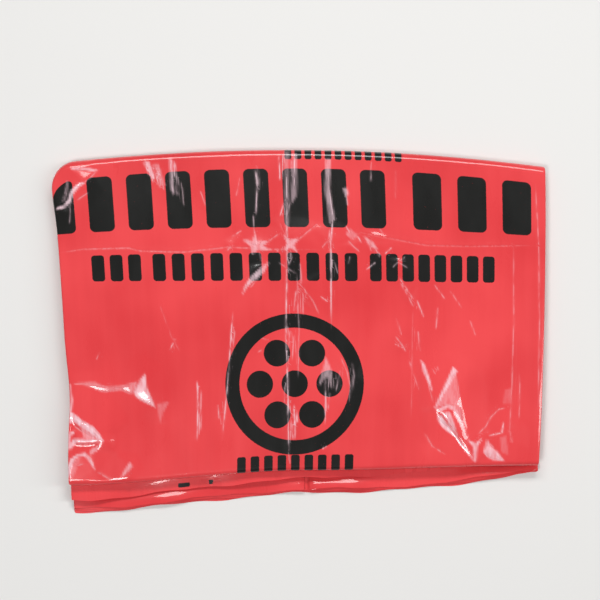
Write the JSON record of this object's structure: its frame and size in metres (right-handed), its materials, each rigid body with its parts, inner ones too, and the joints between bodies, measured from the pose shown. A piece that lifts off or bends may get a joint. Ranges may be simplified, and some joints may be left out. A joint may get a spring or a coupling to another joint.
{
  "type": "biohazard waste bag",
  "caption": "Red plastic-film biohazard waste bag, folded flat into a layered packet, printed face up, with its open mouth and sealed bottom showing at one side.",
  "frame": {"origin": "middle of the packet's footprint, on its underside", "axes": "+Z out of the printed face, +Y towards the folded spine, -Y towards the open side where the mouth and sealed bottom show, +X to the right seen from above"},
  "size_m": [0.3164, 0.2296, 0.0131],
  "materials": {
    "red_film": "glossy pigmented red polyolefin film, soft sheen with sharp highlights on creases, glossy black print on the face"
  },
  "bodies": {
    "root": {"film_bag": "red_film"}
  },
  "joints": []
}
